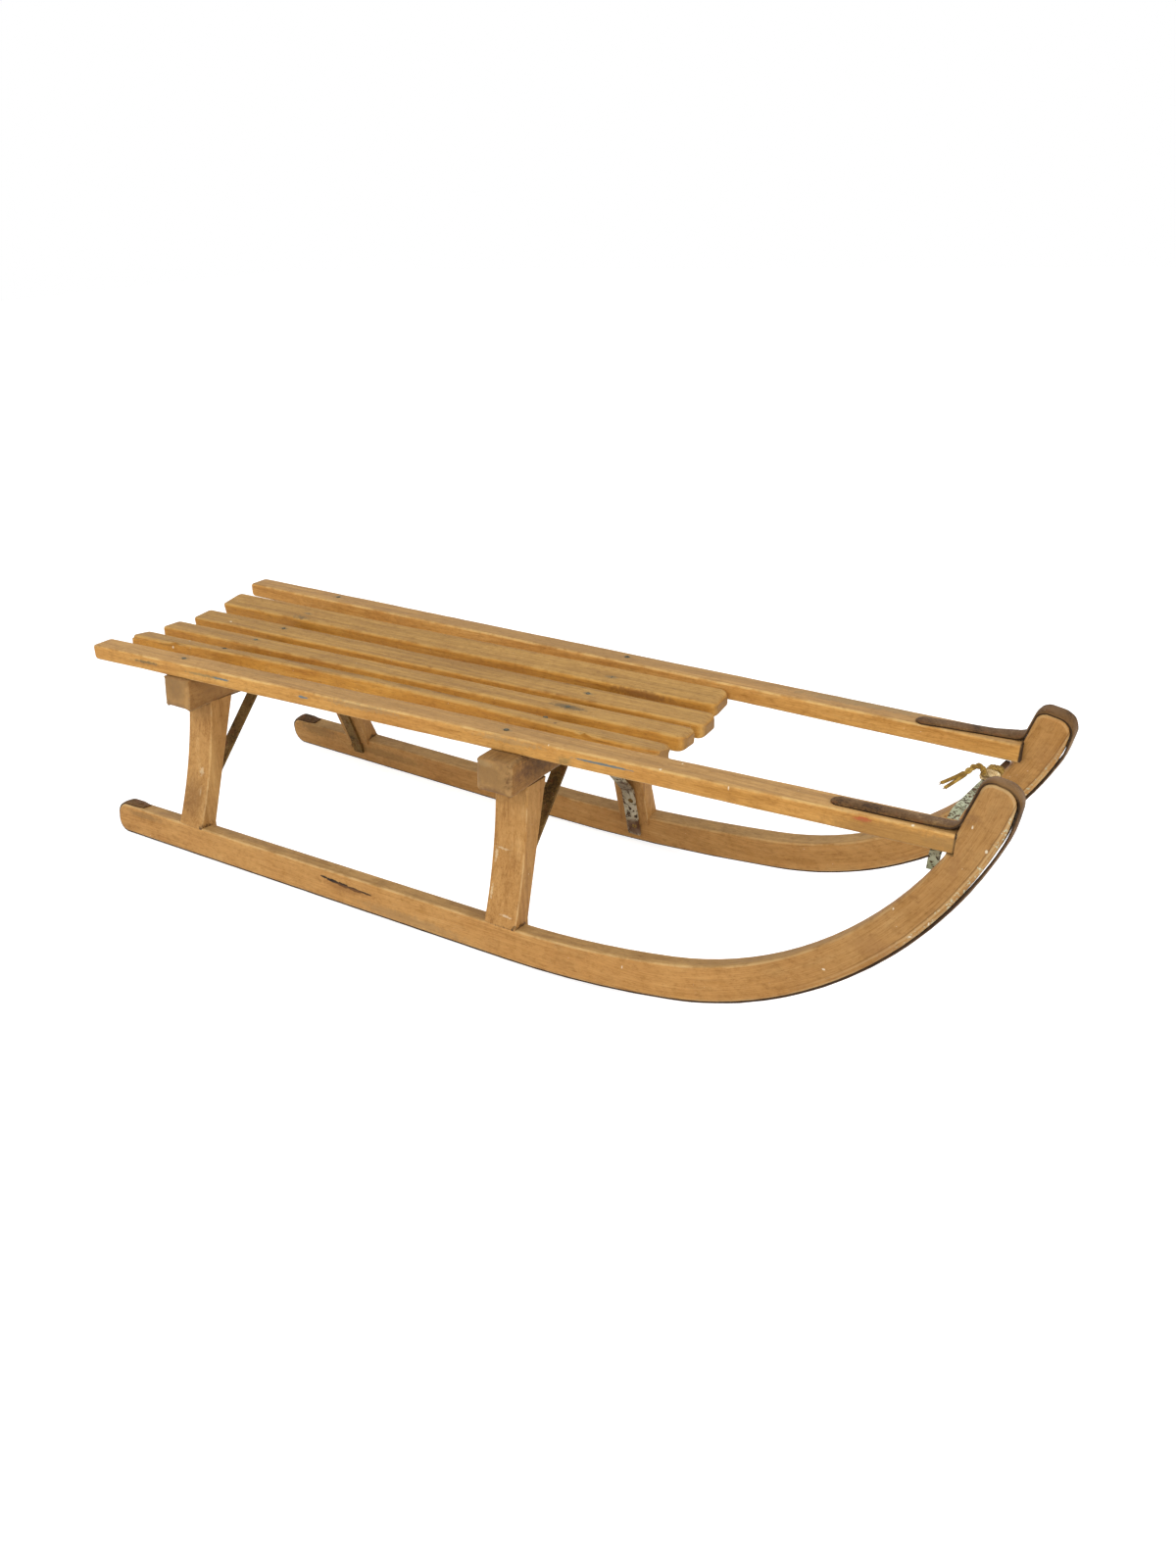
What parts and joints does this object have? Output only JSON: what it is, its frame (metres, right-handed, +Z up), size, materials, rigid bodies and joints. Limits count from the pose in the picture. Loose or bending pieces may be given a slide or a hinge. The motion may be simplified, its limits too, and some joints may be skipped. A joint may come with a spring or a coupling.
{
  "type": "wooden slatted sled",
  "caption": "Old wooden slatted sled: slats between side rails on waisted posts, runners curled up to horns and shod with steel bands, iron braces and a pull bar with a stub of twine.",
  "frame": {"origin": "middle of the sled's length and width at the floor", "axes": "+X from the rear end of the seat towards the horns, +Y to the rider's left, +Z up from the floor"},
  "size_m": [0.9629, 0.3142, 0.2648],
  "materials": {
    "seat_wood": "worn varnish",
    "runner_wood": "worn varnish",
    "frame_wood": "worn varnish",
    "band_steel": "brown rust",
    "rusty_iron": "dark rust",
    "painted_iron": "flaking grey paint",
    "twine": "frayed"
  },
  "bodies": {
    "root": {"side_rail_right": "seat_wood", "side_rail_left": "seat_wood", "seat_slat_1": "seat_wood", "seat_slat_2": "seat_wood", "seat_slat_3": "seat_wood", "seat_slat_4": "seat_wood", "crossbeam_rear": "frame_wood", "crossbeam_front": "frame_wood", "runner_right": "runner_wood", "runner_left": "runner_wood", "post_rear_right": "frame_wood", "post_rear_left": "frame_wood", "post_front_right": "frame_wood", "post_front_left": "frame_wood", "runner_band_right": "band_steel", "runner_band_left": "band_steel", "brace_rear_right": "rusty_iron", "brace_rear_left": "rusty_iron", "brace_front_right": "rusty_iron", "brace_front_left": "painted_iron", "pull_bar": "painted_iron", "rope_winding": "twine", "rope_tail": "twine"}
  },
  "joints": []
}
